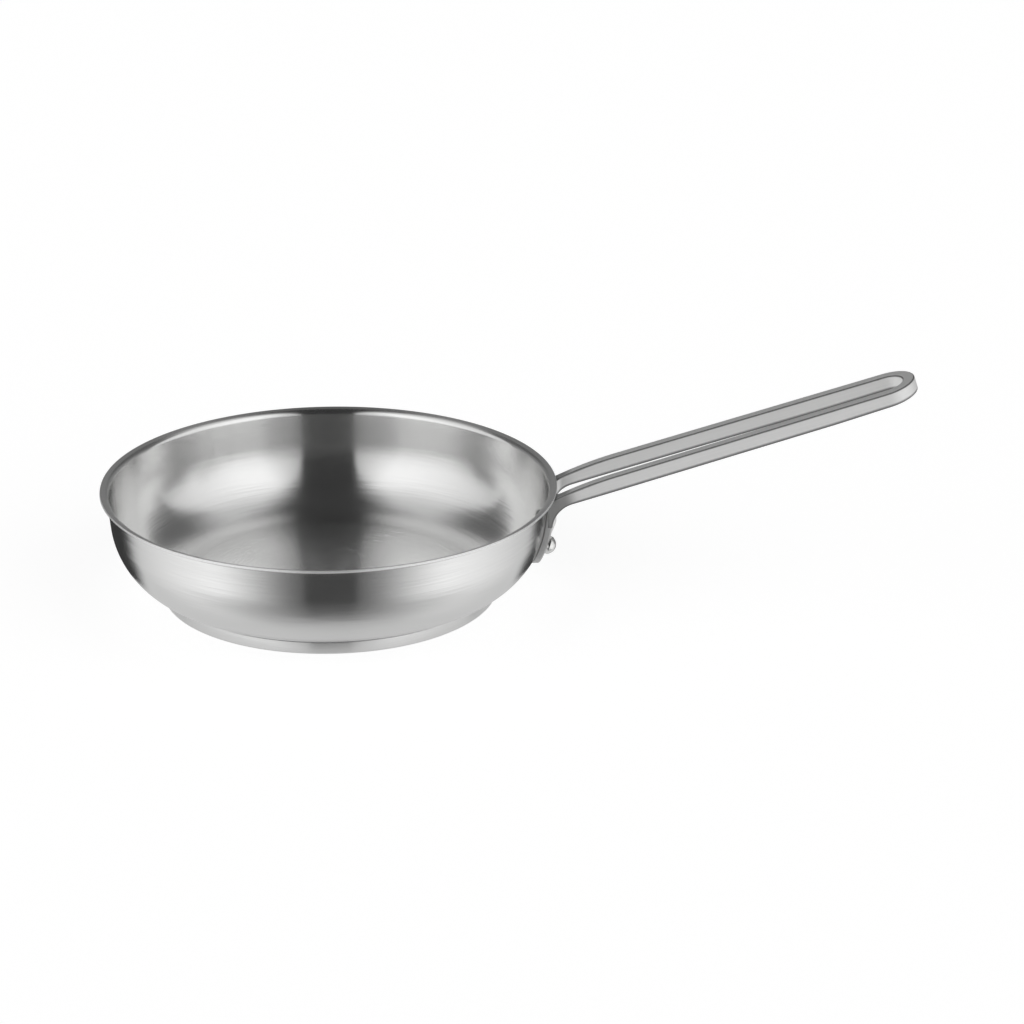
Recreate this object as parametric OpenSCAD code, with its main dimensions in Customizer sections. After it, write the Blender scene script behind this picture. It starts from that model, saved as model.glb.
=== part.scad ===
// Round frying pan in stainless steel: a drawn shell with a flared lip, a heat-spreading
// base, and a hairpin loop handle that two rivets hold to the wall.
// The origin is the centre of the base's underside, +Z is up and +X runs along the handle.

/* [Pan] */
// Width across the flared rim
rim_d = 240; // [220:1:280]
// Height from the worktop to the top of the rim
pan_h = 59; // [55:0.5:70]
// Thickness of the drawn sheet
sheet_t = 1.2; // [0.8:0.1:1.4]
// Radius of the side wall in section, on its outside
side_r = 42; // [36:1:50]
// Slope of the wall where the side meets the corner below it, in degrees
corner_angle = 40; // [35:1:45]
// Lean of the neck under the lip in degrees, inwards where it is above zero
neck_lean = -6; // [-8:0.5:-3]
// Height of the straight neck between the side wall and the lip
neck_l = 14.7; // [11:0.1:17]
// Radius of the lip's bend in section, on its outside
lip_r = 2; // [1.5:0.1:3]
// How far the lip bends over from the vertical, in degrees
lip_angle = 76; // [60:1:85]
// Width of the lip's flat rim past the bend
lip_flat = 2.05; // [1.2:0.05:3]
// Radius of the two corners of the rim's cut edge
rim_edge_r = 0.25; // [0.1:0.05:0.35]

/* [Base] */
// Width of the base ring
base_d = 177; // [165:1:190]
// Height of the shell's underside above the worktop
base_h = 5.4; // [4.5:0.1:6.5]
// Thickness of the base's steel cap
cap_t = 0.6; // [0.4:0.1:1]
// Radius of the cap's lower edge
cap_edge_r = 1.2; // [0.8:0.1:2]
// Width of the groove between the cap and the shell
groove_h = 0.7; // [0.4:0.1:1.2]

/* [Handle] */
// Length of the loop from the flange to its tip
handle_l = 197.4; // [160:0.2:230]
// Rise of the handle above the horizontal, in degrees
handle_tilt = 17.8; // [12:0.2:24]
// Depth of the handle's root below the top of the rim
root_drop = 3.4; // [2:0.1:6]
// Half width of the loop from its root to its middle
loop_half_w = 17.6; // [16:0.1:21]
// Length of the loop's stretch of full width
loop_full_l = 34; // [20:1:120]
// Radius of the loop's round tip
tip_r = 16; // [13:0.1:18]
// Thickness of each leg of the loop, seen from above
leg_t = 6.4; // [5:0.1:7]
// Height of each leg, square to its slope
leg_h = 8.2; // [7:0.1:11]
// Height of the loop at its tip
tip_h = 7.4; // [6:0.1:9]
// Length over which the legs get lower towards the tip
thin_l = 45; // [30:1:80]
// How far the legs dip where they meet the flange
leg_dip = 2.7; // [1.5:0.1:4]
// Length over which the legs dip
dip_l = 34; // [25:1:50]
// Radius under the legs where they flow into the flange
neck_r = 15; // [10:0.5:20]

/* [Flange] */
// Thickness of the flange on the wall
flange_t = 3.4; // [2.4:0.1:4]
// Half width of the flange at its widest
flange_half_w = 23; // [21:0.5:26]
// Height of the flange from its lower to its upper edge
flange_h = 22.5; // [21:0.5:26]
// Depth of the flange's upper edge below the top of the rim
flange_drop = 15.5; // [14:0.5:17]
// Radius of the flange's lower corners
flange_corner_r = 8.5; // [6:0.5:10]
// Gap between the flange and the wall
seat_gap = 0.05; // [0.02:0.01:0.2]

/* [Rivets] */
// Distance of each rivet from the handle's centre line
rivet_y = 17; // [15:0.1:17.5]
// Depth of the rivets below the top of the rim, on the outside of the wall
rivet_drop = 26.2; // [24:0.1:28]
// Width of a rivet's shank
shank_d = 5; // [4:0.1:6]
// Width of a rivet's head
head_d = 9.6; // [8:0.1:10]
// Height of a rivet's head on the handle's side
outer_head_h = 4.4; // [2.5:0.1:4.8]
// Height of a rivet's head inside the pan
inner_head_h = 3.2; // [1.8:0.1:4]
// Height of the straight edge under a head's dome
head_edge_h = 1.1; // [0.5:0.1:1.4]
// Radial gap round a shank
shank_gap = 0.03; // [0.02:0.01:0.1]

/* [Hidden] */
$fn = 180;
arc_steps = 14;
dip_steps = 8;
overrun = 1;
// Spare width round a rivet's head where the flange is spot-faced
spot_gap = 0.3;
// Thickness of the web left between the legs at the flange
web_t = 1;
// Corner radius at the slot's root
slot_root_r = 4;
// How far those corners run into the legs, and the flange's shoulders too
corner_sink = 0.2;

// Shell section: centres of the lip, side and corner arcs as [radius, height]
lip_mid_r = lip_r + sheet_t / 2;
edge_dir = [-cos(lip_angle), sin(lip_angle)];
lip_dir = [sin(lip_angle), cos(lip_angle)];
edge_step = (sheet_t / 2 - rim_edge_r) * edge_dir;
edge_low = [rim_d / 2 - rim_edge_r, pan_h - rim_edge_r - 2 * edge_step.y];
edge_top = edge_low + 2 * edge_step;
lip_c = edge_low + edge_step - lip_flat * lip_dir - lip_mid_r * edge_dir;
neck_dir = [cos(neck_lean), sin(neck_lean)];
side_c = lip_c - (lip_r + side_r) * neck_dir - neck_l * [-neck_dir.y, neck_dir.x];
corner_top_z = side_c.y - side_r * sin(corner_angle);
corner_r = (corner_top_z - base_h) / (1 - sin(corner_angle));
corner_c = side_c + (side_r - corner_r) * [cos(corner_angle), -sin(corner_angle)];

// Base: the cap's side stops one groove below the shell
base_r = base_d / 2;
reach = max(0, base_r - corner_c.x);
shell_z_at_base = corner_c.y - sqrt(pow(corner_r, 2) - pow(reach, 2));
cap_h = shell_z_at_base - groove_h;

// Flange: it hangs from the rim, as the rivets and the legs do
flange_top_z = pan_h - flange_drop;
flange_low_z = flange_top_z - flange_h;

// Handle frame: its origin is on the flange's outer face at the legs' middle
root_x = side_c.x + side_r + seat_gap + flange_t;
root_z = pan_h - root_drop;
along = [cos(handle_tilt), sin(handle_tilt)];
square_to = [-sin(handle_tilt), cos(handle_tilt)];
slot_half_w = loop_half_w - leg_t;
slot_tip_r = tip_r - leg_t;
tip_x = handle_l - tip_r;

// Neck: an arc that touches the legs' underside and the flange's face at a leg's middle
leg_y = loop_half_w - leg_t / 2;
flange_face_r = side_r + seat_gap + flange_t;
neck_side_c = side_c - [root_x - sqrt(pow(root_x, 2) - pow(leg_y, 2)), 0];
under_p = [root_x, root_z] - (leg_h / 2 + neck_r) * square_to - neck_side_c;
under_s = sqrt(pow(under_p * along, 2) - under_p * under_p + pow(flange_face_r + neck_r, 2));
neck_c = neck_side_c + under_p + (under_s - under_p * along) * along;
neck_end = (atan2(neck_side_c.y - neck_c.y, neck_side_c.x - neck_c.x) + 360) % 360;

// Rivets: their axis is square to the wall
rivet_z = pan_h - rivet_drop;
rivet_tilt = asin((side_c.y - rivet_z) / side_r);
rivet_turn = asin(rivet_y / (side_c.x + side_r * cos(rivet_tilt)));
head_r = head_d / 2;
inner_seat = sqrt(pow(side_r - sheet_t, 2) - pow(head_r, 2)) - shank_gap;
outer_seat = sqrt(pow(flange_face_r, 2) - pow(head_r, 2));

// Points of an arc about c, without its first point
function arc(c, r, from, to) =
    [for (i = [1:arc_steps]) let (a = from + (to - from) * i / arc_steps) c + r * [cos(a), sin(a)]];

// Direction of the point where a line from p touches a circle, on its right-hand side
function touch_angle(p, c, r) = atan2(p.y - c.y, p.x - c.x) - acos(r / norm(p - c));

// Same outline on the other side of the X axis, in reverse order
function mirrored(points) = [for (i = [len(points) - 1:-1:0]) [points[i].x, -points[i].y]];

// How far the legs lie below the straight handle at a distance x from the root
function dip(x) = leg_dip * pow(max(0, dip_l - x) / dip_l, 2);

// The shell's outside from its floor to its edge, moved outwards by grow
function outside(grow) = concat(
    [[0, base_h - grow], [corner_c.x, base_h - grow]],
    arc(corner_c, corner_r + grow, -90, -corner_angle),
    arc(side_c, side_r + grow, -corner_angle, neck_lean),
    [lip_c - (lip_r - grow) * neck_dir],
    arc(lip_c, lip_r - grow, 180 + neck_lean, 180 - lip_angle)
);

// The rim's cut edge with its two rounded corners
function edge(grow) = concat(
    [edge_low - (rim_edge_r + grow) * edge_dir],
    arc(edge_low, rim_edge_r + grow, -lip_angle, 90 - lip_angle),
    [edge_top + (rim_edge_r + grow) * lip_dir],
    arc(edge_top, rim_edge_r + grow, 90 - lip_angle, 180 - lip_angle)
);

// The shell's inside from its edge to its floor
function inside() = concat(
    [lip_c + (lip_r + sheet_t) * edge_dir],
    arc(lip_c, lip_r + sheet_t, 180 - lip_angle, 180 + neck_lean),
    [side_c + (side_r - sheet_t) * neck_dir],
    arc(side_c, side_r - sheet_t, neck_lean, -corner_angle),
    arc(corner_c, corner_r - sheet_t, -corner_angle, -90),
    [[0, base_h + sheet_t]]
);

// The space that the shell fills and encloses, grown outwards by grow
module shell_space(grow) {
    rotate_extrude()
        polygon(concat(
            outside(grow),
            edge(grow),
            [[0, pan_h + grow]]
        ));
}

module pan_shell() {
    color("gainsboro")
        difference() {
            rotate_extrude()
                polygon(concat(
                    outside(0),
                    edge(0),
                    inside()
                ));
            rivet_bores();
        }
}

module heat_disc() {
    color("lightgray")
        difference() {
            translate([0, 0, cap_t])
                cylinder(r = base_r - cap_t, h = shell_z_at_base - cap_t);
            shell_space(0);
        }
}

module base_cap() {
    corner = [base_r - cap_edge_r, cap_edge_r];
    color("silver")
        rotate_extrude()
            polygon(concat(
                [[0, 0], [corner.x, 0]],
                arc(corner, cap_edge_r, -90, 0),
                [[base_r, cap_h], [base_r - cap_t, cap_h], [base_r - cap_t, cap_t], [0, cap_t]]
            ));
}

// Half of a loop's outline: a straight stretch, then a taper that touches the round tip
function loop_half(half_w, end_r, start) =
    let (shoulder = [loop_full_l, half_w], centre = [tip_x, 0])
    concat(
        [[start, half_w], shoulder],
        [centre + end_r * [cos(touch_angle(shoulder, centre, end_r)), sin(touch_angle(shoulder, centre, end_r))]],
        arc(centre, end_r, touch_angle(shoulder, centre, end_r), 0)
    );

module loop_plan(half_w, end_r, start) {
    half = loop_half(half_w, end_r, start);
    polygon(concat(half, mirrored([for (i = [0:len(half) - 2]) half[i]])));
}

// Side view of the legs, in the handle's own frame turned back to the row's
function leg_point(x, z) = [root_x, root_z] + x * along + z * square_to;

function leg_side() =
    let (back = -(flange_t + lip_r), step = (dip_l - back) / dip_steps)
    concat(
        [for (i = [0:dip_steps]) let (x = back + step * i) leg_point(x, leg_h / 2 - dip(x))],
        [leg_point(handle_l + overrun, leg_h / 2), leg_point(handle_l + overrun, leg_h / 2 - tip_h)],
        [leg_point(handle_l - thin_l, -leg_h / 2), neck_c + neck_r * square_to],
        arc(neck_c, neck_r, 90 + handle_tilt, neck_end),
        [side_c + [0, neck_c.y - side_c.y]]
    );

module legs() {
    intersection() {
        union() {
            translate([root_x, 0, root_z])
                rotate([0, -handle_tilt, 0])
                    translate([0, 0, -pan_h])
                        linear_extrude(2 * pan_h)
                            difference() {
                                loop_plan(loop_half_w, tip_r, -pan_h);
                                loop_plan(slot_half_w, slot_tip_r, -pan_h - overrun);
                            }
            root_web();
        }
        rotate([90, 0, 0])
            linear_extrude(2 * loop_half_w + overrun, center = true)
                polygon(leg_side());
    }
}

// Upright web that closes the slot at the flange, with rounded corners that end in the legs
module root_web() {
    corner = [root_x + web_t + slot_root_r, slot_half_w + corner_sink - slot_root_r];
    side_y = slot_half_w + web_t;
    half = concat(
        [[side_c.x, side_y], [corner.x, side_y], corner + [0, slot_root_r]],
        arc(corner, slot_root_r, 90, 180)
    );
    translate([0, 0, flange_low_z])
        linear_extrude(pan_h)
            polygon(concat(half, mirrored(half)));
}

// Front view of the flange, as [sideways, height]
module flange_front() {
    corner = [flange_half_w - flange_corner_r, flange_low_z + flange_corner_r];
    shoulder = [loop_half_w - corner_sink, flange_top_z];
    touch = touch_angle(shoulder, corner, flange_corner_r);
    half = concat(
        [shoulder, corner + flange_corner_r * [cos(touch), sin(touch)]],
        arc(corner, flange_corner_r, touch, -90)
    );
    polygon(concat(half, [for (i = [len(half) - 1:-1:0]) [-half[i].x, half[i].y]]));
}

module handle() {
    color("lightsteelblue")
        difference() {
            union() {
                legs();
                intersection() {
                    flange_skin();
                    rotate([90, 0, 90])
                        linear_extrude(rim_d)
                            flange_front();
                }
            }
            shell_space(seat_gap);
            rivet_bores();
            spot_faces();
        }
}

// Ring that follows the side wall, one flange thick
module flange_skin() {
    rotate_extrude()
        polygon(concat(
            [side_c],
            [side_c + flange_face_r * [cos(corner_angle), -sin(corner_angle)]],
            arc(side_c, flange_face_r, -corner_angle, neck_lean),
            [side_c + flange_face_r * neck_dir + pan_h * [-neck_dir.y, neck_dir.x], side_c + [0, pan_h]]
        ));
}

// Puts its children on a rivet's axis, with +Z outwards and zero at the side arc's centre
module on_rivet(side) {
    rotate([0, 0, side * rivet_turn])
        translate([side_c.x, 0, side_c.y])
            rotate([0, 90 + rivet_tilt, 0])
                children();
}

module rivet_bores() {
    for (side = [-1, 1])
        on_rivet(side)
            cylinder(d = shank_d + 2 * shank_gap, h = flange_face_r + overrun);
}

module spot_faces() {
    for (side = [-1, 1])
        on_rivet(side)
            translate([0, 0, outer_seat])
                cylinder(r = head_r + spot_gap, h = outer_head_h);
}

// A head's dome stands on its straight edge; zero is the head's flat side
module rivet_head(head_h) {
    dome_h = head_h - head_edge_h;
    dome_r = (pow(head_r, 2) + pow(dome_h, 2)) / (2 * dome_h);
    dome_half = asin(head_r / dome_r);
    rotate_extrude()
        polygon(concat(
            [[0, 0], [head_r, 0], [head_r, head_edge_h]],
            arc([0, head_h - dome_r], dome_r, 90 - dome_half, 90)
        ));
}

module rivet(side) {
    color("whitesmoke")
        on_rivet(side) {
            translate([0, 0, outer_seat])
                rivet_head(outer_head_h);
            translate([0, 0, inner_seat])
                mirror([0, 0, 1])
                    rivet_head(inner_head_h);
            translate([0, 0, inner_seat - head_edge_h])
                cylinder(d = shank_d, h = outer_seat - inner_seat + 2 * head_edge_h);
        }
}

module rivet_near() {
    rivet(-1);
}

module rivet_far() {
    rivet(1);
}

pan_shell();
heat_disc();
base_cap();
handle();
rivet_near();
rivet_far();
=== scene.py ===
import math

import bmesh
import bpy
import numpy as np
from mathutils import Matrix


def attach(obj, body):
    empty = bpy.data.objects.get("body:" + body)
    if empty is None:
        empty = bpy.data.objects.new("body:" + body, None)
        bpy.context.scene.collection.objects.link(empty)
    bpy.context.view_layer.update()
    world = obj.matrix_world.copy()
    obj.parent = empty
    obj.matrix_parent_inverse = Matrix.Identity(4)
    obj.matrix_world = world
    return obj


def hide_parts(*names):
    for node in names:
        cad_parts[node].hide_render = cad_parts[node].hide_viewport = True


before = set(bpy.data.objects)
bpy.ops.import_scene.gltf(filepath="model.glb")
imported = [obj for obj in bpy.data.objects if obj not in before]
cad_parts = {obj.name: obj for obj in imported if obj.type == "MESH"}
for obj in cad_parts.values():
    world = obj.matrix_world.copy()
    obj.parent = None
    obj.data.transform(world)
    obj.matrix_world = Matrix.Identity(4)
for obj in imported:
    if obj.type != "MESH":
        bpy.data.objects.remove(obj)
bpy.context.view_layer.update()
scene = bpy.context.scene
print("frame loaded:", ", ".join(sorted(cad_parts)))

mm = 0.001  # sizes are in millimetres, meshes in metres
weld = 2e-6  # points of a turned piece that are closer than this become one
fineWeld = 1e-6  # the same for the handle
quarterTurn = 0.25  # makes a highlight stretch across the grooves, in whole turns
nodeColumns, nodeWidth, nodeHeight = 12, 200, 180  # where nodes stand in the node editor

# section of the pan, the same values as the CAD model's
pan = {
    "rimWidth": 240, "height": 59, "sheet": 1.2,
    "sideRadius": 42, "cornerAngle": 40, "neckLean": -6, "neckLength": 14.7,
    "lipRadius": 2, "lipAngle": 76, "lipFlat": 2.05, "rimEdge": 0.25,
    "baseWidth": 177, "baseHeight": 5.4, "groove": 0.7,
    "stepsRound": 512, "floorSteps": 6, "cornerSteps": 18, "innerCornerSteps": 20,
    "sideSteps": 26, "neckSteps": 5, "lipSteps": 20, "flatSteps": 12, "edgeSteps": 6,
}


def polar(degrees):
    return np.array([math.cos(math.radians(degrees)), math.sin(math.radians(degrees))])


# points along an arc in a plane, both ends included
def arc(centre, radius, start, end, steps):
    turns = [start + (end - start) * i / steps for i in range(steps + 1)]
    return [np.asarray(centre) + radius * polar(turn) for turn in turns]


# even points between two ends, last point left out
def run(start, end, steps):
    start, end = np.asarray(start, float), np.asarray(end, float)
    return [start + (end - start) * i / steps for i in range(steps)]


sheet, side, lip, rimEdge = pan["sheet"], pan["sideRadius"], pan["lipRadius"], pan["rimEdge"]
lean, turnOver, cornerAngle = pan["neckLean"], pan["lipAngle"], pan["cornerAngle"]
baseHeight = pan["baseHeight"]

# directions in the section: out of the neck, along the lip, and square to the lip
neckWay, lipWay, edgeWay = polar(lean), polar(90 - turnOver), polar(180 - turnOver)
edgeStep = (sheet / 2 - rimEdge) * edgeWay
edgeLow = np.array([pan["rimWidth"] / 2 - rimEdge, pan["height"] - rimEdge - 2 * edgeStep[1]])
edgeTop = edgeLow + 2 * edgeStep
lipCentre = edgeLow + edgeStep - pan["lipFlat"] * lipWay - (lip + sheet / 2) * edgeWay
neckTop = lipCentre - lip * neckWay
sideCentre = neckTop - pan["neckLength"] * polar(90 + lean) - side * neckWay
cornerSine = math.sin(math.radians(cornerAngle))
corner = (sideCentre[1] - side * cornerSine - baseHeight) / (1 - cornerSine)
cornerCentre = sideCentre + (side - corner) * polar(-cornerAngle)
baseReach = pan["baseWidth"] / 2 - cornerCentre[0]
capHeight = cornerCentre[1] - math.sqrt(corner ** 2 - baseReach ** 2) - pan["groove"]


def newNode(tree, kind, **settings):
    node = tree.nodes.new(kind)
    row, column = divmod(len(tree.nodes), nodeColumns)
    node.location = (nodeWidth * column, -nodeHeight * row)
    for key, value in settings.items():
        setattr(node, key, value)
    return node


# puts a number, a vector or another node's output into an input
def feed(tree, socket, value):
    if isinstance(value, bpy.types.NodeSocket):
        tree.links.new(value, socket)
    else:
        socket.default_value = value


def feedAll(tree, sockets, values):
    for socket, value in zip(sockets, values):
        feed(tree, socket, value)


def calc(tree, operation, *values):
    node = newNode(tree, "ShaderNodeMath", operation=operation)
    feedAll(tree, node.inputs, values)
    return node.outputs[0]


def vectorCalc(tree, operation, *values):
    node = newNode(tree, "ShaderNodeVectorMath", operation=operation)
    feedAll(tree, node.inputs, values)
    return node.outputs["Value" if operation in ("DOT_PRODUCT", "LENGTH") else "Vector"]


def scaled(tree, vector, factor):
    node = newNode(tree, "ShaderNodeVectorMath", operation="SCALE")
    feedAll(tree, (node.inputs[0], node.inputs["Scale"]), (vector, factor))
    return node.outputs[0]


def separate(tree, vector):
    node = newNode(tree, "ShaderNodeSeparateXYZ")
    feed(tree, node.inputs[0], vector)
    return node.outputs


def combine(tree, *values):
    node = newNode(tree, "ShaderNodeCombineXYZ")
    feedAll(tree, node.inputs, values)
    return node.outputs[0]


def ramp(tree, value, fromLow, fromHigh, toLow=0.0, toHigh=1.0, kind="SMOOTHSTEP"):
    node = newNode(tree, "ShaderNodeMapRange", interpolation_type=kind)
    feedAll(tree, node.inputs, (value, fromLow, fromHigh, toLow, toHigh))
    return node.outputs[0]


# goes evenly from one value to another as the share goes from 0 to 1
def span(tree, share, start, end):
    return ramp(tree, share, 0.0, 1.0, start, end, "LINEAR")


def mixColour(tree, share, first, second):
    node = newNode(tree, "ShaderNodeMix", data_type="RGBA")
    feedAll(tree, (node.inputs["Factor"], node.inputs[6], node.inputs[7]), (share, first, second))
    return node.outputs[2]


def noise(tree, place, scale, detail, hardness=0.5):
    node = newNode(tree, "ShaderNodeTexNoise")
    sockets = [node.inputs[name] for name in ("Vector", "Scale", "Detail", "Roughness")]
    feedAll(tree, sockets, (place, scale, detail, hardness))
    return node.outputs[0]


def attribute(tree, name, output):
    return newNode(tree, "ShaderNodeAttribute", attribute_name=name).outputs[output]


# levels of the noise between which a value goes through its whole range
spread = {"lines": (0.3, 0.7), "haze": (0.35, 0.65), "tones": (0.25, 0.75), "grooves": (0.2, 0.8)}
# how far a face has to look up, or outwards, for none and for all of a shade
lookUp, lookOut = (0.7, 0.9), (0.3, 0.6)


# brushed steel: the grooves run round the pan's axis, or along a piece with a brush direction of its own
def brushedSteel(name, finish):
    material = bpy.data.materials.new(name)
    material.use_nodes = True
    tree = material.node_tree
    shader = tree.nodes["Principled BSDF"]
    shader.inputs["Metallic"].default_value = finish["metallic"]
    shader.inputs["Anisotropic"].default_value = finish["stretch"]
    shader.inputs["Anisotropic Rotation"].default_value = quarterTurn
    normal = newNode(tree, "ShaderNodeNewGeometry").outputs["Normal"]
    place = newNode(tree, "ShaderNodeTexCoord").outputs["Object"]
    lineRun, linePitch = finish["lineRun"], finish["linePitch"]
    if finish.get("along"):
        tangent = attribute(tree, "brushDirection", "Vector")
        track = attribute(tree, "brushTrack", "Vector")
        lineSpace = vectorCalc(tree, "MULTIPLY", track, (lineRun, linePitch, linePitch))
    else:
        x, y, z = separate(tree, place)
        flat = combine(tree, x, y)
        outward = vectorCalc(tree, "NORMALIZE", flat)
        distance = vectorCalc(tree, "LENGTH", flat)
        tangent = vectorCalc(tree, "NORMALIZE", combine(tree, calc(tree, "MULTIPLY", y, -1.0), x))
        height = combine(tree, 0.0, 0.0, calc(tree, "ADD", distance, z))
        lineSpace = vectorCalc(
            tree, "ADD", scaled(tree, outward, lineRun), scaled(tree, height, linePitch),
        )
    feed(tree, shader.inputs["Tangent"], tangent)

    lines = noise(tree, lineSpace, 1.0, finish["lineDetail"], finish["lineHardness"])
    haze = noise(tree, place, finish["hazeScale"], finish["hazeDetail"])
    rough = finish["roughness"]
    if "flatRadius" in finish:
        # the pan's floor is brushed a little differently from its wall
        reach, soft = finish["flatRadius"], finish["flatSoft"]
        flatShare = ramp(tree, distance, reach - soft, reach + soft, 1.0, 0.0)
        stretch = span(tree, flatShare, finish["stretch"], finish["flatStretch"])
        feed(tree, shader.inputs["Anisotropic"], stretch)
        rough = span(tree, flatShare, rough, finish["flatRoughness"])
    change, hazeChange = finish["lineRoughness"], finish["hazeRoughness"]
    rough = calc(tree, "ADD", rough, ramp(tree, lines, *spread["lines"], -change, change, "LINEAR"))
    rough = calc(tree, "ADD", rough, ramp(tree, haze, *spread["haze"], -hazeChange, hazeChange, "LINEAR"))
    tones = [
        (*[value * (1 + shade) for value in finish["colour"]], 1)
        for shade in (-finish["lineShade"], finish["lineShade"])
    ]
    colour = mixColour(tree, ramp(tree, lines, *spread["tones"]), *tones)
    if "edgeShade" in finish:
        # painted shade: the colour is darkened on the edges, on the top faces, near the root and along the
        # flange's rim
        shade = calc(tree, "MULTIPLY", attribute(tree, "edgeShare", "Fac"), finish["edgeShade"])
        topShade = ramp(tree, separate(tree, normal)[2], *lookUp, 0.0, finish["topShade"])
        rootShade = calc(tree, "MULTIPLY", attribute(tree, "rootShadeShare", "Fac"), finish["rootShade"])
        shade = calc(tree, "MAXIMUM", calc(tree, "MAXIMUM", shade, topShade), rootShade)
        colour = mixColour(tree, shade, colour, (0, 0, 0, 1))
    if "cutRadius" in finish:
        # painted highlight: the outward-facing cut edge of the rim is painted pale, and made less metallic and
        # rougher than the faces, so it shows as a bright line
        facing = ramp(tree, vectorCalc(tree, "DOT_PRODUCT", normal, outward), *lookOut)
        rimHighlightShare = ramp(tree, distance, finish["cutRadius"] - finish["cutSoft"], finish["cutRadius"])
        rimHighlightShare = calc(tree, "MULTIPLY", rimHighlightShare, facing)
        colour = mixColour(tree, rimHighlightShare, colour, finish["rimHighlightColour"])
        metallic = span(tree, rimHighlightShare, finish["metallic"], finish["cutMetallic"])
        feed(tree, shader.inputs["Metallic"], metallic)
        rough = span(tree, rimHighlightShare, rough, finish["cutRoughness"])
    feed(tree, shader.inputs["Base Color"], colour)
    feed(tree, shader.inputs["Roughness"], rough)

    # the fine grooves tilt the surface across the brush direction
    across = vectorCalc(tree, "NORMALIZE", vectorCalc(tree, "CROSS_PRODUCT", normal, tangent))
    mostTilt = finish["grooveTilt"]
    tilt = ramp(tree, lines, *spread["grooves"], -mostTilt, mostTilt, "LINEAR")
    tilted = vectorCalc(tree, "ADD", normal, scaled(tree, across, tilt))
    feed(tree, shader.inputs["Normal"], vectorCalc(tree, "NORMALIZE", tilted))
    return material


plainSteel = {
    "colour": (0.8, 0.8, 0.795), "metallic": 1.0, "roughness": 0.19, "stretch": 0.99,
    "lineRun": 3.0, "linePitch": 4200.0, "lineDetail": 3.0, "lineHardness": 0.6,
    "lineRoughness": 0.02, "lineShade": 0.03, "grooveTilt": 0.1,
    "hazeScale": 18.0, "hazeDetail": 2.0, "hazeRoughness": 0.012,
}
shellFinish = brushedSteel("shellBrushedSteel", {
    **plainSteel, "flatRadius": 0.077, "flatSoft": 0.005, "flatRoughness": 0.25, "flatStretch": 0.9,
    # the rim's cut edge is painted pale: a painted highlight
    "cutRadius": 0.119, "cutSoft": 0.0004, "rimHighlightColour": (0.95, 0.95, 0.95, 1),
    "cutMetallic": 0.65, "cutRoughness": 0.45,
})
capFinish = brushedSteel("baseBrushedSteel", {**plainSteel, "roughness": 0.3})
# the handle's finish paints shade on its edges, top faces, root and flange rim
handleFinish = brushedSteel("handleBrushedSteel", {
    **plainSteel, "along": True, "metallic": 0.35, "roughness": 0.5, "stretch": 0.0,
    "edgeShade": 0.86, "topShade": 0.15, "rootShade": 0.6, "lineRun": 60.0, "linePitch": 5200.0,
})
rivetFinish = brushedSteel("rivetPolishedSteel", {
    **plainSteel, "colour": (0.8, 0.8, 0.79), "roughness": 0.16, "stretch": 0.0,
    "linePitch": 2600.0, "grooveTilt": 0.03,
})
discFinish = brushedSteel("discAluminium", {
    **plainSteel, "colour": (0.62, 0.62, 0.63), "roughness": 0.5, "stretch": 0.3,
})


# a tree that turns a section drawn in the XZ plane round the Z axis
def turningTree():
    tree = bpy.data.node_groups.new("turnedSection", "GeometryNodeTree")
    tree.is_modifier = True
    face = tree.interface
    kinds = {"Section": "Geometry", "Steps Round": "Int", "Weld Distance": "Float", "Finish": "Material"}
    for name, kind in kinds.items():
        face.new_socket(name, in_out="INPUT", socket_type="NodeSocket" + kind)
    face.new_socket("Geometry", in_out="OUTPUT", socket_type="NodeSocketGeometry")
    section, steps, weldDistance, finish = newNode(tree, "NodeGroupInput").outputs[:4]
    count = newNode(tree, "GeometryNodeAttributeDomainSize", component="MESH")
    feed(tree, count.inputs[0], section)
    points = count.outputs["Point Count"]
    grid = newNode(tree, "GeometryNodeMeshGrid")
    feed(tree, grid.inputs["Vertices X"], calc(tree, "ADD", steps, 1.0))
    feed(tree, grid.inputs["Vertices Y"], points)
    index = newNode(tree, "GeometryNodeInputIndex").outputs[0]
    column = calc(tree, "FLOOR", calc(tree, "DIVIDE", calc(tree, "ADD", index, 0.5), points))
    row = calc(tree, "SUBTRACT", index, calc(tree, "MULTIPLY", column, points))
    sample = newNode(tree, "GeometryNodeSampleIndex", data_type="FLOAT_VECTOR", domain="POINT")
    feed(tree, sample.inputs["Geometry"], section)
    feed(tree, sample.inputs["Value"], newNode(tree, "GeometryNodeInputPosition").outputs[0])
    feed(tree, sample.inputs["Index"], row)
    turn = newNode(tree, "ShaderNodeVectorRotate", rotation_type="Z_AXIS")
    feed(tree, turn.inputs["Vector"], sample.outputs[0])
    wholeTurns = calc(tree, "MULTIPLY", column, 2 * math.pi)
    feed(tree, turn.inputs["Angle"], calc(tree, "DIVIDE", wholeTurns, steps))
    place = newNode(tree, "GeometryNodeSetPosition")
    feed(tree, place.inputs["Geometry"], grid.outputs["Mesh"])
    feed(tree, place.inputs["Position"], turn.outputs[0])
    merge = newNode(tree, "GeometryNodeMergeByDistance")
    feed(tree, merge.inputs["Geometry"], place.outputs[0])
    feed(tree, merge.inputs["Distance"], weldDistance)
    smooth = newNode(tree, "GeometryNodeSetShadeSmooth")
    feed(tree, smooth.inputs[0], merge.outputs[0])
    real = newNode(tree, "GeometryNodeRealizeInstances")
    feed(tree, real.inputs[0], smooth.outputs[0])
    paint = newNode(tree, "GeometryNodeSetMaterial")
    feed(tree, paint.inputs["Geometry"], real.outputs[0])
    feed(tree, paint.inputs["Material"], finish)
    feed(tree, newNode(tree, "NodeGroupOutput").inputs[0], paint.outputs[0])
    return tree


turning = turningTree()


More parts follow.
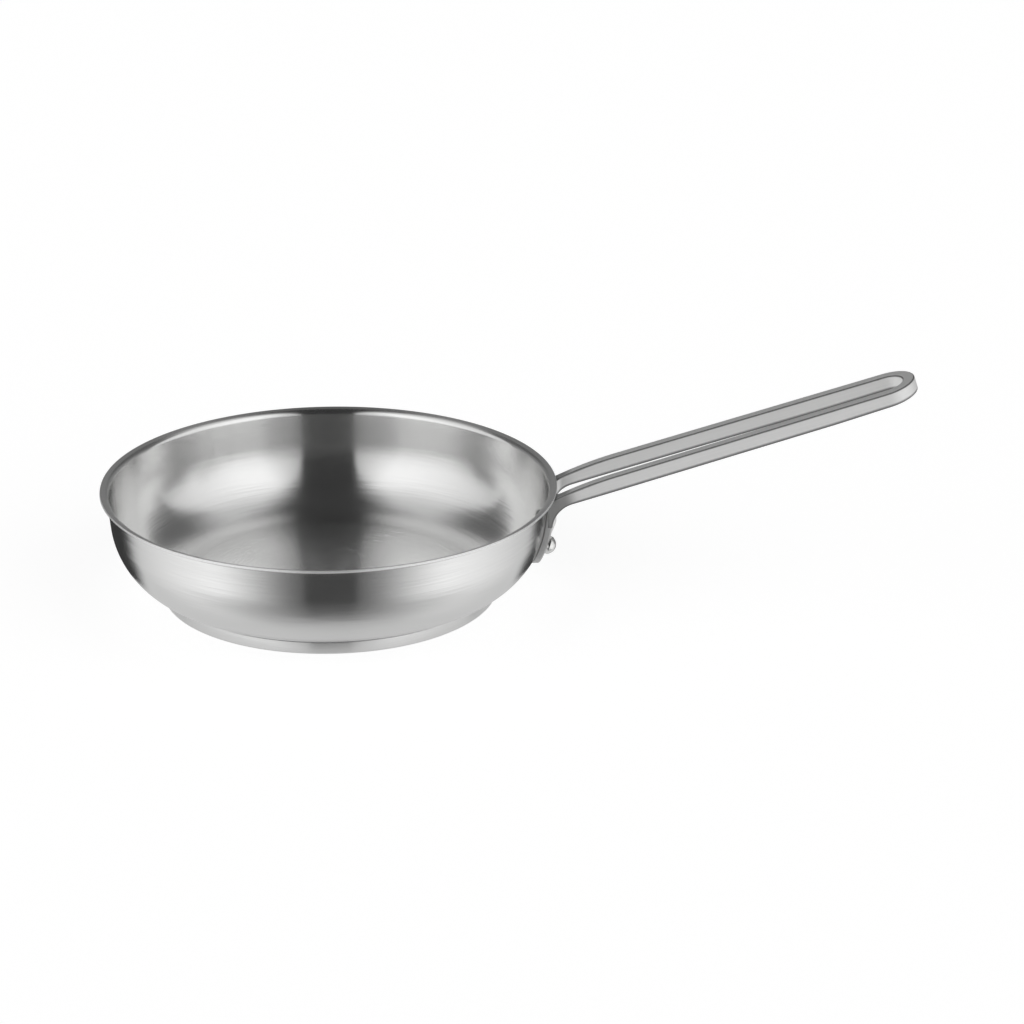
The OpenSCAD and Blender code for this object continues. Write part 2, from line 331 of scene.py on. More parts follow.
def setInput(modifier, name, value):
    for item in modifier.node_group.interface.items_tree:
        if item.item_type == "SOCKET" and item.in_out == "INPUT" and item.name == name:
            modifier[item.identifier] = value


# merges doubles, turns the faces outwards and smooths the shading
def tidyMesh(mesh, distance):
    body = bmesh.new()
    body.from_mesh(mesh)
    bmesh.ops.remove_doubles(body, verts=body.verts, dist=distance)
    bmesh.ops.recalc_face_normals(body, faces=body.faces)
    for face in body.faces:
        face.smooth = True
    body.to_mesh(mesh)
    body.free()


def dress(piece, node):
    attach(piece, "root")
    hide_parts(node)
    print("piece:", piece.name, len(piece.data.polygons), "faces")


# turned piece from a section of (radius, height) points in millimetres
def turnedPiece(name, section, finish, steps, placing=None):
    mesh = bpy.data.meshes.new(name)
    points = [(p[0] * mm, 0, p[1] * mm) for p in section]
    mesh.from_pydata(points, [(i, i + 1) for i in range(len(points) - 1)], [])
    piece = bpy.data.objects.new(name, mesh)
    scene.collection.objects.link(piece)
    modifier = piece.modifiers.new("turning", "NODES")
    modifier.node_group = turning
    setInput(modifier, "Steps Round", steps)
    setInput(modifier, "Weld Distance", weld)
    setInput(modifier, "Finish", finish)
    bpy.context.view_layer.update()
    depsgraph = bpy.context.evaluated_depsgraph_get()
    solid = bpy.data.meshes.new_from_object(piece.evaluated_get(depsgraph), depsgraph=depsgraph)
    piece.modifiers.remove(modifier)
    piece.data = solid
    bpy.data.meshes.remove(mesh)
    solid.name = name
    tidyMesh(solid, weld)
    if placing is not None:
        solid.transform(placing)
    return piece


# from the middle of the underside out to the rim, and back along the inside
inside, insideHeight = side - sheet, baseHeight + sheet
shellSection = (
    run((0, baseHeight), (cornerCentre[0], baseHeight), pan["floorSteps"])
    + arc(cornerCentre, corner, -90, -cornerAngle, pan["cornerSteps"])[:-1]
    + arc(sideCentre, side, -cornerAngle, lean, pan["sideSteps"])[:-1]
    + run(sideCentre + side * neckWay, neckTop, pan["neckSteps"])
    + arc(lipCentre, lip, 180 + lean, 180 - turnOver, pan["lipSteps"])[:-1]
    + run(lipCentre + lip * edgeWay, edgeLow - rimEdge * edgeWay, pan["flatSteps"])
    + arc(edgeLow, rimEdge, -turnOver, 90 - turnOver, pan["edgeSteps"])
    + run(edgeLow + rimEdge * lipWay, edgeTop + rimEdge * lipWay, pan["edgeSteps"])[1:]
    + arc(edgeTop, rimEdge, 90 - turnOver, 180 - turnOver, pan["edgeSteps"])[:-1]
    + run(edgeTop + rimEdge * edgeWay, lipCentre + (lip + sheet) * edgeWay, pan["flatSteps"])
    + arc(lipCentre, lip + sheet, 180 - turnOver, 180 + lean, pan["lipSteps"])[:-1]
    + run(lipCentre - (lip + sheet) * neckWay, sideCentre + inside * neckWay, pan["neckSteps"])
    + arc(sideCentre, inside, lean, -cornerAngle, pan["sideSteps"])[:-1]
    + arc(cornerCentre, corner - sheet, -cornerAngle, -90, pan["innerCornerSteps"])[:-1]
    + run((cornerCentre[0], insideHeight), (0, insideHeight), 2 * pan["floorSteps"])
    + [(0, insideHeight)]
)
shell = turnedPiece("panShell", shellSection, shellFinish, pan["stepsRound"])
dress(shell, "pan_shell")

cap = {"sheet": 0.6, "edge": 1.2, "lip": 0.2, "bend": 0.1, "floorSteps": 10, "insideSteps": 6, "lipSteps": 4}
capRadius = pan["baseWidth"] / 2
capInside = capRadius - cap["sheet"]
capTop = capHeight - cap["lip"]
capSection = (
    run((0, 0), (capRadius - cap["edge"], 0), cap["floorSteps"])
    + arc((capRadius - cap["edge"], cap["edge"]), cap["edge"], -90, 0, cap["floorSteps"])
    + arc((capRadius - cap["lip"], capTop), cap["lip"], 0, 90, cap["lipSteps"])
    + arc((capInside + cap["lip"], capTop), cap["lip"], 90, 180, cap["lipSteps"])
    + [(capInside, cap["sheet"] + cap["bend"]), (capInside - cap["bend"], cap["sheet"])]
    + run((capInside - 2 * cap["bend"], cap["sheet"]), (0, cap["sheet"]), cap["insideSteps"])
    + [(0, cap["sheet"])]
)
baseCap = turnedPiece("baseCap", capSection, capFinish, pan["stepsRound"])
dress(baseCap, "base_cap")

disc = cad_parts["heat_disc"]
disc.data.materials.clear()
disc.data.materials.append(discFinish)


# lengths along the handle start where the middle of the legs meets the flange's outer face
handle = {
    "length": 197.4, "tilt": 17.8, "rootDrop": 3.4,
    "halfWidth": 17.6, "fullLength": 34, "tipRadius": 16, "taperEase": 10,
    "legThick": 6.4, "legHeight": 8.2, "tipHeight": 7.4, "thinLength": 45,
    "dip": 2.7, "dipLength": 34, "neckRadius": 15,
    "edge": 0.9, "rootEdge": 1.2, "rootEdgeLength": 38, "lowEdgeShare": 0.9,
    "flangeThick": 3.4, "flangeHalf": 23, "flangeLow": 21, "flangeTop": 43.5, "flangeCorner": 8.5,
    "flangeEdge": 0.8, "seatGap": 0.05, "flangeRimShare": 0.75,
    "shoulderInset": 0.2, "shoulderSoft": 1.0, "shoulderTuck": 0.05, "shoulderRise": 1, "shoulderNarrow": 0.6,
    "backDrop": 1.0, "leastFillet": 0.001, "bevelSpare": 20, "flangeTurnEnd": -8,
    "web": 1, "webTop": 56.0, "webRise": (36, 44), "webHalf": (12.5, 16),
    "slotFillet": 3.6, "ledgeFillet": 2.0, "rootBury": 0.8, "rootSpread": 1.4, "rootGap": 0.1, "rootStep": 0.03,
    # where the painted shade near the root and along the flange's rim fades, in millimetres
    "rootShade": (5, 14), "slotRootShare": 0.3, "flangeRimShade": (-2.5, -1.0),
    "cornerSteps": 6, "faceSteps": 6, "edgeSteps": 3, "buriedSteps": 2, "rootSteps": 32, "tipSteps": 30,
    "bevelSteps": 17, "straightSteps": 25, "flangeRows": 36, "flangeColumns": 25,
}
along = polar(handle["tilt"])
squareTo = np.array([-along[1], along[0]])
faceRadius = side + handle["seatGap"] + handle["flangeThick"]
rootPoint = np.array([sideCentre[0] + faceRadius, pan["height"] - handle["rootDrop"]])
halfLeg, halfHeight = handle["legThick"] / 2, handle["legHeight"] / 2
legMiddle = handle["halfWidth"] - halfLeg
tipX = handle["length"] - handle["tipRadius"]
tipMiddle = handle["tipRadius"] - halfLeg

# neck arc: touches the legs' underside and the flange's face
faceShift = np.array([rootPoint[0] - math.sqrt(rootPoint[0] ** 2 - legMiddle ** 2), 0])
faceCentre = sideCentre - faceShift
under = rootPoint - (halfHeight + handle["neckRadius"]) * squareTo - faceCentre
reach = math.sqrt((under @ along) ** 2 - under @ under + (faceRadius + handle["neckRadius"]) ** 2)
neckCentre = faceCentre + under + (reach - under @ along) * along
neckEnd = math.degrees(math.atan2(*(faceCentre - neckCentre)[::-1])) % 360
neckX = (neckCentre - rootPoint) @ along


# half width of the flange at a height
def flangeHalf(z):
    inner = handle["flangeHalf"] - handle["flangeCorner"]
    centre = np.array([inner, handle["flangeLow"] + handle["flangeCorner"]])
    shoulder = np.array([handle["halfWidth"] - handle["shoulderInset"], handle["flangeTop"]])
    gap = shoulder - centre
    touch = math.atan2(gap[1], gap[0]) - math.acos(handle["flangeCorner"] / np.hypot(*gap))
    touchPoint = centre + handle["flangeCorner"] * np.array([math.cos(touch), math.sin(touch)])
    if z <= touchPoint[1]:
        return inner + math.sqrt(max(0, handle["flangeCorner"] ** 2 - (centre[1] - z) ** 2))
    slope = (touchPoint[0] - shoulder[0]) / (shoulder[1] - touchPoint[1])
    above, soft = slope * (shoulder[1] - z), handle["shoulderSoft"]
    eased = above if above > soft else 0 if above < -soft else (above + soft) ** 2 / (4 * soft)
    return shoulder[0] - handle["shoulderTuck"] + eased


def smoothstep(low, high, value):
    t = np.clip((value - low) / (high - low), 0, 1)
    return t * t * (3 - 2 * t)


# distance from the pan's axis of a skin over the side arc and the straight neck above it
def skinReach(z, radius):
    top = sideCentre + radius * neckWay
    onSide = sideCentre[0] + np.sqrt(np.maximum(radius ** 2 - (z - sideCentre[1]) ** 2, 0))
    return np.where(z < top[1], onSide, top[0] - (z - top[1]) * math.tan(math.radians(lean)))


# X of the flange's outer face, with the web between the legs
def faceX(y, z):
    plain = np.sqrt(skinReach(z, faceRadius) ** 2 - y ** 2)
    web = rootPoint[0] + handle["web"]
    share = smoothstep(*handle["webRise"], z) * (1 - smoothstep(*handle["webHalf"], np.abs(y)))
    return plain + (np.maximum(web, plain) - plain) * share


# X of the shell's outside, a gap away
def shellX(y, z, gap):
    onLip = lipCentre[0] - np.sqrt(np.maximum((lip - gap) ** 2 - (z - lipCentre[1]) ** 2, 0))
    return np.sqrt(np.where(z < neckTop[1], skinReach(z, side + gap), onLip) ** 2 - y ** 2)


# a closed section of a leg from its top line and its low line: points (along, lateral, height), how far
# each faces out (1) or into the slot (-1), and how much of it is an edge
# the edge shares set how much painted shade the handle's finish puts on each point
def legSection(top, topIn, low, lowIn, topEdge):
    lowEdge, lowShare, steps = handle["edge"], handle["lowEdgeShare"], handle["cornerSteps"]
    points, weights, shares = [], [], []

    def bend(base, inward, radius, sign, opening, share=None):
        for k in range(steps + 1):
            t = math.radians(90 * k / steps)
            t = t if opening else math.pi / 2 - t
            spot = base + radius * (1 - math.cos(t)) * inward
            points.append((spot[0], sign * (halfLeg - radius + radius * math.sin(t)), spot[1]))
            weights.append(sign * math.sin(t))
            shares.append(math.sin(2 * t) if share is None else share)

    def lineTo(spot, lateral, count, weight):
        start, end = np.array(points[-1]), np.array((spot[0], lateral, spot[1]))
        for k in range(1, count):
            points.append(tuple(start + (end - start) * k / count))
            weights.append(weight)
            shares.append(0)

    bend(top, topIn, topEdge, 1, True)
    lineTo(low + lowEdge * lowIn, halfLeg, handle["faceSteps"], 1)
    bend(low, lowIn, lowEdge, 1, False, lowShare)
    lineTo(low, lowEdge - halfLeg, handle["edgeSteps"], 0)
    bend(low, lowIn, lowEdge, -1, True, lowShare)
    lineTo(top + topEdge * topIn, -halfLeg, handle["faceSteps"], -1)
    bend(top, topIn, topEdge, -1, False)
    lineTo(top, halfLeg - topEdge, handle["edgeSteps"], 0)
    return np.array(points), np.array(weights), np.array(shares)


# from the pan's section to the handle's own (along, height), and back
def toHandle(way):
    return np.array([way @ along, way @ squareTo])


def toPan(ownX, ownZ):
    return [rootPoint[i] + ownX * along[i] + ownZ * squareTo[i] for i in (0, 1)]


def topPoint(x):
    drop = max(0, handle["dipLength"] - x)
    slope = 2 * handle["dip"] * drop / handle["dipLength"] ** 2
    inward = np.array([slope, -1.0])
    height = halfHeight - handle["dip"] * drop ** 2 / handle["dipLength"] ** 2
    return np.array([x, height]), inward / np.hypot(*inward)


def lowHeight(x):
    rise = (handle["legHeight"] - handle["tipHeight"]) / handle["thinLength"]
    return -halfHeight + rise * np.maximum(0, x - (handle["length"] - handle["thinLength"]))


# width of the bevels on top of a leg
def bevelWidth(x):
    grow = smoothstep(handle["rootEdgeLength"], 0, x)
    return handle["edge"] + (handle["rootEdge"] - handle["edge"]) * grow


shoulderGap = np.array([handle["fullLength"] - tipX, legMiddle])
shoulderTurn = math.atan2(shoulderGap[1], shoulderGap[0])
taperAngle = math.degrees(shoulderTurn - math.acos(tipMiddle / np.hypot(*shoulderGap)))
taperSlope = math.tan(math.radians(taperAngle - 90))


# distance of a leg's middle line from the handle's centre line
def middleLine(x):
    soft = handle["taperEase"]
    past = x - handle["fullLength"]
    eased = np.where(past > soft, past, np.where(past < -soft, 0, (past + soft) ** 2 / (4 * soft)))
    return legMiddle + taperSlope * eased


# painted shade: how much a leg's colour is darkened near its root, less between the legs
def rootShadeShares(points, weights):
    towardSlot = np.where(weights < -0.5, handle["slotRootShare"], 1.0)
    return (1 - smoothstep(*handle["rootShade"], points[:, 0])) * towardSlot


# the sections of one leg, from inside the flange to the middle of the tip
def legRings():
    rings, tracks, shares, roots = [], [], [], []

    def keep(x, y, z, track, share, root):
        for kept, new in zip((rings, tracks, shares, roots), (np.stack([x, y, z], 1), track, share, root)):
            kept.append(new)

    steps, buried = handle["rootSteps"], handle["buriedSteps"]
    backZ = handle["webTop"] - handle["backDrop"]
    backX = toHandle(np.array([shellX(legMiddle, backZ, 0), backZ]) - rootPoint)[0]
    for i in range(steps + 1):
        angle = neckEnd + (90 + handle["tilt"] - neckEnd) * max(0, (i - buried) / (steps - buried))
        low = neckCentre + handle["neckRadius"] * polar(angle)
        low = low + polar(neckEnd) * handle["rootBury"] * max(0, buried - i)
        top, topIn = topPoint(backX + (neckX - backX) * (i / steps) ** handle["rootSpread"])
        points, weights, share = legSection(
            top, topIn, toHandle(low - rootPoint), toHandle(polar(angle)), bevelWidth(top[0]),
        )
        x, z = toPan(points[:, 0], points[:, 2])
        y = middleLine(points[:, 0]) + points[:, 1]
        # the sides flare out in a fillet where they meet the flange
        outerRoom = np.array([flangeHalf(v) for v in z]) - handle["halfWidth"]
        outerFillet = np.clip(outerRoom, handle["leastFillet"], handle["ledgeFillet"])
        fillet = np.where(weights > 0, outerFillet, handle["slotFillet"])
        near = np.clip(fillet - (x - faceX(y, z)), 0, fillet)
        y = y + weights * (fillet - np.sqrt(fillet ** 2 - near ** 2))
        x = np.maximum(x, shellX(y, z, handle["rootGap"]) + handle["rootStep"] * i)
        keep(x, y, z, points, share, rootShadeShares(points, weights))
    bevelEnd = handle["rootEdgeLength"] + handle["bevelSpare"]
    flats = list(neckX + (bevelEnd - neckX) * np.linspace(0, 1, handle["bevelSteps"])[1:])
    flats += list(bevelEnd + (tipX - bevelEnd) * np.linspace(0, 1, handle["straightSteps"])[1:-1])
    upright = np.array([0.0, 1.0])
    for x0 in flats:
        low = np.array([x0, lowHeight(x0)])
        points, weights, share = legSection(*topPoint(x0), low, upright, bevelWidth(x0))
        x, z = toPan(points[:, 0], points[:, 2])
        y = middleLine(points[:, 0]) + points[:, 1]
        keep(x, y, z, points, share, rootShadeShares(points, weights))
    points, weights, share = legSection(
        *topPoint(tipX), np.array([tipX, -halfHeight]), upright, handle["edge"],
    )
    depthShare = (halfHeight - points[:, 2]) / handle["legHeight"]
    for i in range(handle["tipSteps"] + 1):
        turn = taperAngle * (1 - i / handle["tipSteps"])
        out = (tipMiddle + points[:, 1])[:, None] * polar(turn)
        ownX, ownY = tipX + out[:, 0], out[:, 1]
        x, z = toPan(ownX, points[:, 2] + depthShare * (lowHeight(ownX) + halfHeight))
        track = points.copy()
        track[:, 0] = tipX + tipMiddle * math.radians(taperAngle - turn)
        keep(x, ownY, z, track, share, 0 * share)
    return rings, tracks, shares, roots


# the flange: a curved plate with rounded edges, as layers of its outline
def flangeMesh():
    rows, flangeCorner, edge = handle["flangeRows"], handle["flangeCorner"], handle["flangeEdge"]
    lowMiddle = handle["flangeLow"] + flangeCorner
    heights = [
        lowMiddle + flangeCorner * math.sin(math.radians(angle))
        for angle in np.linspace(-90, handle["flangeTurnEnd"], rows // 2)
    ]
    heights += list(np.linspace(heights[-1], handle["webTop"], rows - rows // 2 + 1)[1:])
    shoulderTop = handle["flangeTop"] + handle["shoulderRise"]
    shoulderHalf = handle["halfWidth"] - handle["shoulderNarrow"]
    widths = [flangeHalf(z) if z < shoulderTop else shoulderHalf for z in heights]
    outline = np.stack([widths, heights], 1)
    step = np.gradient(outline, axis=0)
    normal = np.stack([step[:, 1], -step[:, 0]], 1)
    normal /= np.hypot(normal[:, 0], normal[:, 1])[:, None]
    normal[0] = (0, -1)
    columns = np.linspace(-1, 1, handle["flangeColumns"])

    # the outline drawn in by an inset, at a depth under the front or the back face
    def layer(inset, back, depth):
        line = outline - inset * normal
        line[-1, 1] -= inset
        y = line[:, :1] * columns[None, :]
        z = np.repeat(line[:, 1:], len(columns), 1)
        x = shellX(y, z, handle["seatGap"]) + depth if back else faceX(y, z) - depth
        return np.stack([x, y, z], 2)

    m, k = len(heights), len(columns)
    loop = [(0, c) for c in range(k)] + [(r, k - 1) for r in range(1, m)]
    loop += [(m - 1, c) for c in range(k - 2, -1, -1)] + [(r, 0) for r in range(m - 2, 0, -1)]
    vertices, faces = [], []

    def grid(points):
        start = len(vertices)
        vertices.extend(points.reshape(-1, 3))
        for r in range(m - 1):
            for c in range(k - 1):
                a = start + r * k + c
                faces.append((a, a + 1, a + k + 1, a + k))
        return [start + r * k + c for r, c in loop]

    def ring(points):
        start = len(vertices)
        vertices.extend(points[r, c] for r, c in loop)
        return list(range(start, start + len(loop)))

    steps = handle["cornerSteps"]
    links = [grid(layer(edge, False, 0.0))]
    for back, order in ((False, range(1, steps + 1)), (True, range(steps, 0, -1))):
        for i in order:
            t = math.radians(90 * i / steps)
            links.append(ring(layer(edge * (1 - math.sin(t)), back, edge * (1 - math.cos(t)))))
    links.append(grid(layer(edge, True, 0.0)))
    for first, second in zip(links, links[1:]):
        for i in range(len(first)):
            j = (i + 1) % len(first)
            faces.append((first[i], first[j], second[j], second[i]))
    return np.array(vertices), faces


def buildHandle():
    rings, tracks, shares, roots = legRings()
    whole = [ring * (1, -1, 1) for ring in rings] + rings[-2::-1]
    total = tracks[-1][0, 0]
    tracks = tracks + [track * (-1, 1, 1) + (2 * total, 0, 0) for track in tracks[-2::-1]]
    count = len(whole[0])
    vertices, track = np.concatenate(whole), np.concatenate(tracks)
    direction = np.gradient(np.stack(whole), axis=0)
    direction /= np.linalg.norm(direction, axis=2)[:, :, None]
    direction = direction.reshape(-1, 3)
    edgeShare = np.concatenate(shares + shares[-2::-1])
    rootShadeShare = np.concatenate(roots + roots[-2::-1])
    faces = []
    for i in range(len(whole) - 1):
        for j in range(count):
            a, b = i * count + j, i * count + (j + 1) % count
            faces.append((a, b, b + count, a + count))
    for i in (0, len(whole) - 1):
        ends = list(range(i * count, (i + 1) * count))
        middle = len(vertices)
        vertices = np.vstack([vertices, vertices[ends].mean(0)])
        direction = np.vstack([direction, direction[ends[0]]])
        track = np.vstack([track, track[ends[0]]])
        faces += [(ends[j], ends[(j + 1) % count], middle) for j in range(count)]
    plate, plateFaces = flangeMesh()
    start = len(vertices)
    vertices = np.vstack([vertices, plate])
    direction = np.vstack([direction, np.tile((0.0, 0.0, 1.0), (len(plate), 1))])
    track = np.vstack([track, plate[:, [2, 1, 0]]])
    edgeShare = np.append(edgeShare, np.zeros(len(vertices) - len(edgeShare)))
    # painted shade: the flange's colour is darkened along its rim, carried in the root's shade attribute
    pastRim = np.abs(plate[:, 1]) - np.array([flangeHalf(z) for z in plate[:, 2]])
    rootShadeShare = np.append(rootShadeShare, np.ones(start - len(rootShadeShare)))
    rimShadeShare = handle["flangeRimShare"] * smoothstep(*handle["flangeRimShade"], pastRim)
    rootShadeShare = np.append(rootShadeShare, rimShadeShare)
    faces += [tuple(start + v for v in face) for face in plateFaces]
    mesh = bpy.data.meshes.new("handleLoop")
    mesh.from_pydata((vertices * mm).tolist(), [], faces)
    for name, values in (("brushDirection", direction), ("brushTrack", track * mm)):
        data = mesh.attributes.new(name, "FLOAT_VECTOR", "POINT").data
        data.foreach_set("vector", values.astype(np.float32).ravel())
    for name, values in (("edgeShare", edgeShare), ("rootShadeShare", rootShadeShare)):
        mesh.attributes.new(name, "FLOAT", "POINT").data.foreach_set("value", values.astype(np.float32))
    mesh.materials.append(handleFinish)
    tidyMesh(mesh, fineWeld)
    piece = bpy.data.objects.new("handleLoop", mesh)
    scene.collection.objects.link(piece)
    return piece


loopHandle = buildHandle()
dress(loopHandle, "handle")


rivet = {
    "y": 17, "drop": 26.2, "shank": 5, "head": 9.6, "outerHead": 4.4, "innerHead": 3.2,
    "edge": 1.1, "softEdge": 0.3, "softDropShare": 0.9, "foot": 0.15, "sink": 0.03, "steps": 96,
    "domeSteps": 14, "softSteps": 5, "footSteps": 3,
}
rivetZ = pan["height"] - rivet["drop"]
rivetTilt = math.asin((sideCentre[1] - rivetZ) / side)
rivetTurn = math.asin(rivet["y"] / (sideCentre[0] + side * math.cos(rivetTilt)))
headRadius = rivet["head"] / 2
innerSeat = math.sqrt(inside ** 2 - headRadius ** 2) - rivet["sink"]
outerSeat = math.sqrt(faceRadius ** 2 - headRadius ** 2)


# half section of a head, from its apex to its flat side, heights measured from that side
def headSection(height):
    dome, soft, foot = height - rivet["edge"], rivet["softEdge"], rivet["foot"]
    radius = (headRadius ** 2 + dome ** 2) / (2 * dome)
    half = math.degrees(math.asin((headRadius - soft) / radius))
    top = arc((0, height - radius), radius, 90, 90 - half, rivet["domeSteps"])
    bendMiddle = (headRadius - soft, top[-1][1] - soft * rivet["softDropShare"])
    bend = arc(bendMiddle, soft, 90 - half, 0, rivet["softSteps"])
    base = arc((headRadius - foot, foot), foot, 0, -90, rivet["footSteps"])
    return top + bend[1:] + base


rivetSection = (
    [(p[0], outerSeat + p[1]) for p in headSection(rivet["outerHead"])]
    + [(rivet["shank"] / 2, outerSeat), (rivet["shank"] / 2, innerSeat)]
    + [(p[0], innerSeat - p[1]) for p in headSection(rivet["innerHead"])[::-1]]
)
for name, node, sign in (("rivetNear", "rivet_near", -1), ("rivetFar", "rivet_far", 1)):
    placing = (
        Matrix.Rotation(sign * rivetTurn, 4, "Z")
        @ Matrix.Translation((sideCentre[0] * mm, 0, sideCentre[1] * mm))
        @ Matrix.Rotation(math.pi / 2 + rivetTilt, 4, "Y")
    )
    dress(turnedPiece(name, rivetSection, rivetFinish, rivet["steps"], placing), node)


# levels of the studio's light and the turns from the camera, in degrees, where they change
studio = {
    "power": 0.77, "turn": 2.8, "sideSoft": 0.05, "panelEndSpan": (-1, 1), "lowEndSpan": (-3, 5),
    "gapEdge": 0.238, "gapSoft": 0.005, "gapLevel": 0.055, "gapRearLevel": 0.28,
    "gapEdgeAbove": 0.052, "gapSoftAbove": 0.085, "gapSoftFront": 0.04,
    "gapRearFrom": 140, "gapRearTo": 160, "frontFrom": 115, "frontTo": 75,
    "topFade": 0.2, "topFadeFront": 0.2,
    "panelFrom": 14, "panelStart": 0.7, "panelPeak": 1.55, "panelPeakFrom": 38, "panelPeakTo": 52,
    "panelEnd": 107, "panelEndLeft": 111, "panelEndRight": 105.5, "panelEndLevel": 0.97,
    "rearEnd": 165, "rearLevel": 0.41, "rearFarLevel": 0.23, "rearShade": 0.5, "rearTopLevel": 0.76,
    "lowGapFrom": 12.5, "lowGapTo": 16,
    "lowFrom": 14, "lowStart": 0.14, "lowPeak": 1.46, "lowPeakFrom": 66, "lowPeakTo": 70,
    "lowEnd": 124, "lowEndLeft": 130, "lowEndRight": 136, "lowEndLevel": 0.88, "lowDark": 0.05,
    "lowerFrom": 12, "lowerStart": 0.15, "lowerPeak": 0.96, "lowerPeakFrom": 96, "lowerPeakTo": 100,
    "lowerEndLevel": 0.71,
}
# heights above the horizon, in degrees, between which one part of the studio gives way to the next
rises = {
    "topFade": (40, 80), "rearShade": (14, 30), "rearTop": (42, 60), "above": (36, 68),
    "rearGap": (60, 40), "lowDark": (-37, -31), "lower": (-34, -46), "floor": (-60, -82),
    "below": (-5, -14),
}
ground = {
    "half": 3.0, "grey": 0.3, "shine": 0.85, "level": 0.86,
    "reach": 0.112, "lift": 0.00002, "steps": 128,
}


def buildFloor():
    mesh = bpy.data.meshes.new("floor")
    half = ground["half"]
    corners = [(-half, -half, 0), (half, -half, 0), (half, half, 0), (-half, half, 0)]
    mesh.from_pydata(corners, [], [(0, 1, 2, 3)])
    floor = bpy.data.objects.new("floor", mesh)
    scene.collection.objects.link(floor)
    material = bpy.data.materials.new("paleFloor")
    material.use_nodes = True
    shader = material.node_tree.nodes["Principled BSDF"]
    shader.inputs["Base Color"].default_value = (*[ground["grey"]] * 3, 1)
    shader.inputs["Roughness"].default_value = 1.0
    shader.inputs["Specular IOR Level"].default_value = 0.0
    shader.inputs["Emission Color"].default_value = (1, 1, 1, 1)
    shader.inputs["Emission Strength"].default_value = ground["shine"]
    mesh.materials.append(material)
    floor.visible_glossy = False


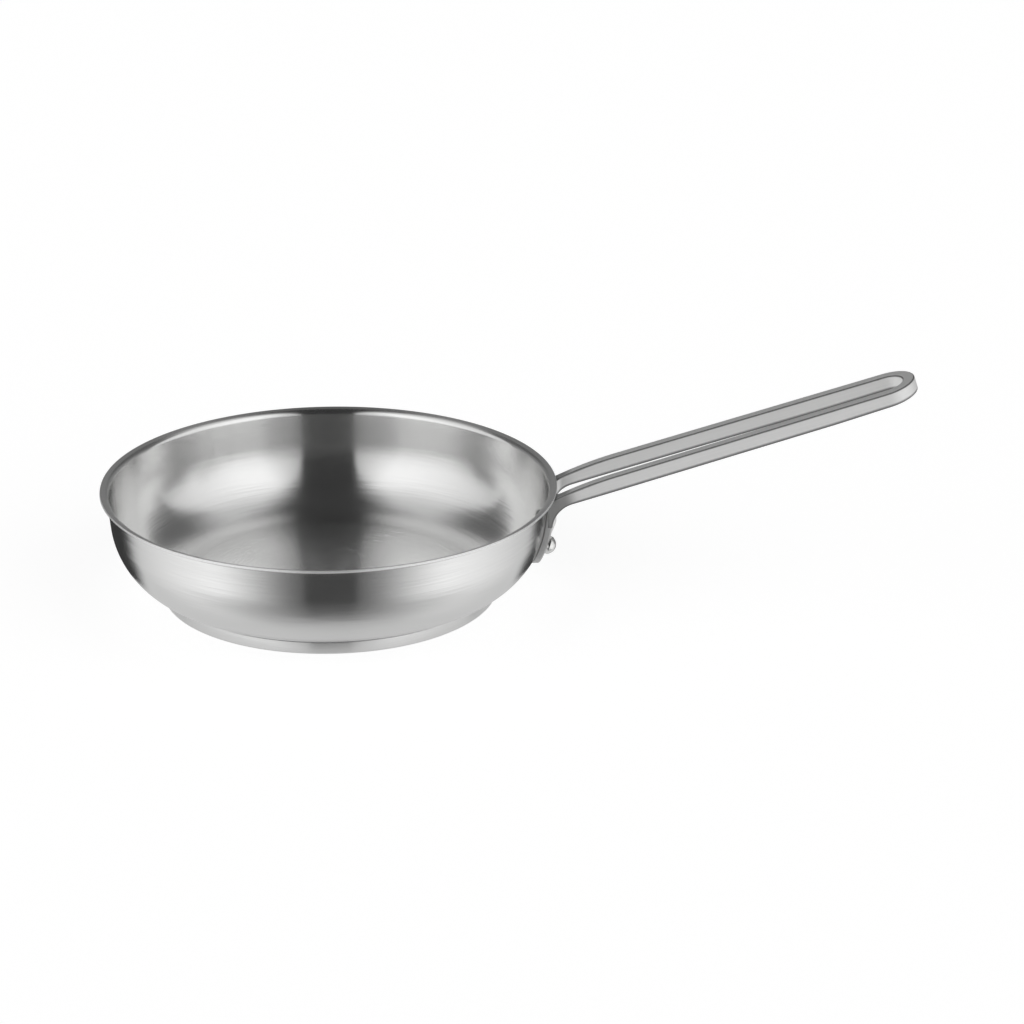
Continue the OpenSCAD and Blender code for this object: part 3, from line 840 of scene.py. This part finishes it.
# two large side panels, with a narrow gap between them that runs from the camera overhead to the back
def buildStudio():
    world = bpy.data.worlds.new("studio")
    scene.world = world
    world.use_nodes = True
    tree = world.node_tree
    background = tree.nodes["Background"]
    turned = newNode(tree, "ShaderNodeVectorRotate", rotation_type="Z_AXIS")
    feed(tree, turned.inputs["Vector"], newNode(tree, "ShaderNodeTexCoord").outputs["Generated"])
    turned.inputs["Angle"].default_value = math.radians(-studio["turn"])
    x, y, z = separate(tree, turned.outputs[0])

    def product(first, second):
        return calc(tree, "MULTIPLY", first, second)

    def total(first, second):
        return calc(tree, "ADD", first, second)

    def less(first, second):
        return calc(tree, "SUBTRACT", first, second)

    def blend(share, first, second):
        return total(first, product(share, less(second, first)))

    aside = calc(tree, "ABSOLUTE", x)
    level = calc(tree, "SQRT", total(product(x, x), product(y, y)))
    turn = calc(tree, "DEGREES", calc(tree, "ARCTAN2", aside, product(y, -1.0)))
    rise = calc(tree, "DEGREES", calc(tree, "ARCTAN2", z, level))

    def slope(fromTurn, toTurn, fromLevel, toLevel):
        return ramp(tree, turn, fromTurn, toTurn, fromLevel, toLevel, "LINEAR")

    def risen(name):
        return ramp(tree, rise, *rises[name])

    # the part above the horizon: side panels, rear and gap
    front = ramp(tree, turn, studio["frontFrom"], studio["frontTo"])
    endDrop = studio["panelEndLevel"] - studio["panelPeak"]
    panel = slope(studio["panelFrom"], studio["panelPeakFrom"], studio["panelStart"], studio["panelPeak"])
    panel = total(panel, slope(studio["panelPeakTo"], studio["panelEnd"], 0, endDrop))
    fade = span(tree, front, 1 - studio["topFade"], 1 - studio["topFade"] - studio["topFadeFront"])
    panel = product(panel, blend(risen("topFade"), 1.0, fade))
    rear = slope(studio["panelEnd"], studio["rearEnd"], studio["rearLevel"], studio["rearFarLevel"])
    rear = product(rear, ramp(tree, rise, *rises["rearShade"], 1, studio["rearShade"]))
    rear = blend(risen("rearTop"), rear, studio["rearTopLevel"])
    rightSide = ramp(tree, x, -studio["sideSoft"], studio["sideSoft"])
    panelEnd = blend(rightSide, studio["panelEndLeft"], studio["panelEndRight"])
    upper = blend(ramp(tree, less(turn, panelEnd), *studio["panelEndSpan"]), panel, rear)
    above = risen("above")
    gapEdge, soft = studio["gapEdge"], studio["gapSoftAbove"]
    gapEdge = span(tree, product(above, front), gapEdge, gapEdge + studio["gapEdgeAbove"])
    gapSoft = product(above, span(tree, front, soft, soft + studio["gapSoftFront"]))
    gapSoft = total(studio["gapSoft"], gapSoft)
    clear = ramp(tree, aside, less(gapEdge, gapSoft), total(gapEdge, gapSoft))
    # the gap is less dark far behind and low down
    behind = product(ramp(tree, turn, studio["gapRearFrom"], studio["gapRearTo"]), risen("rearGap"))
    upper = blend(clear, span(tree, behind, studio["gapLevel"], studio["gapRearLevel"]), upper)

    # the part below it: just under the horizon, further down, and straight down at the floor
    endDrop = studio["lowEndLevel"] - studio["lowPeak"]
    low = ramp(tree, turn, studio["lowFrom"], studio["lowPeakFrom"], studio["lowStart"], studio["lowPeak"])
    low = total(low, slope(studio["lowPeakTo"], studio["lowEnd"], 0, endDrop))
    lowEnd = blend(rightSide, studio["lowEndLeft"], studio["lowEndRight"])
    dark = product(ramp(tree, less(turn, lowEnd), *studio["lowEndSpan"]), risen("lowDark"))
    low = blend(dark, low, studio["lowDark"])
    low = blend(ramp(tree, turn, studio["lowGapFrom"], studio["lowGapTo"]), studio["gapLevel"], low)
    endDrop = studio["lowerEndLevel"] - studio["lowerPeak"]
    lower = slope(studio["lowerFrom"], studio["lowerPeakFrom"], studio["lowerStart"], studio["lowerPeak"])
    lower = total(lower, slope(studio["lowerPeakTo"], 180, 0, endDrop))
    below = blend(risen("lower"), low, lower)
    below = blend(risen("floor"), below, ground["level"])
    light = product(blend(risen("below"), upper, below), studio["power"])

    # the camera sees white
    seen = newNode(tree, "ShaderNodeLightPath").outputs["Is Camera Ray"]
    mix = newNode(tree, "ShaderNodeMix", data_type="FLOAT")
    feedAll(tree, (mix.inputs["Factor"], mix.inputs[2], mix.inputs[3]), (seen, light, 1.0))
    feed(tree, background.inputs["Strength"], mix.outputs[0])
    background.inputs["Color"].default_value = (1, 1, 1, 1)


# the lit floor close round the base, seen only in the metal
def buildFloorGlow():
    mesh = bpy.data.meshes.new("floorGlow")
    body = bmesh.new()
    bmesh.ops.create_circle(body, cap_ends=True, segments=ground["steps"], radius=ground["reach"])
    body.to_mesh(mesh)
    body.free()
    glow = bpy.data.objects.new("floorGlow", mesh)
    glow.location.z = ground["lift"]
    scene.collection.objects.link(glow)
    material = bpy.data.materials.new("floorGlow")
    material.use_nodes = True
    tree = material.node_tree
    emission = newNode(tree, "ShaderNodeEmission")
    emission.inputs["Strength"].default_value = ground["level"] * studio["power"]
    feed(tree, tree.nodes["Material Output"].inputs["Surface"], emission.outputs[0])
    tree.nodes.remove(tree.nodes["Principled BSDF"])
    mesh.materials.append(material)
    for ray in ("visible_camera", "visible_diffuse", "visible_shadow", "visible_transmission"):
        setattr(glow, ray, False)


buildFloor()
buildFloorGlow()
buildStudio()
print("studio built")

view = {"lens": 140.625, "sensor": 36, "reach": 50, "place": (0.0962, -1.9604, 0.8148), "pitch": 68.52}
camera = bpy.data.objects.new("camera", bpy.data.cameras.new("camera"))
camera.data.lens = view["lens"]
camera.data.sensor_width = view["sensor"]
camera.data.clip_end = view["reach"]
camera.location = view["place"]
camera.rotation_euler = (math.radians(view["pitch"]), 0, 0)
scene.collection.objects.link(camera)
scene.camera = camera
scene.view_settings.view_transform = "Standard"
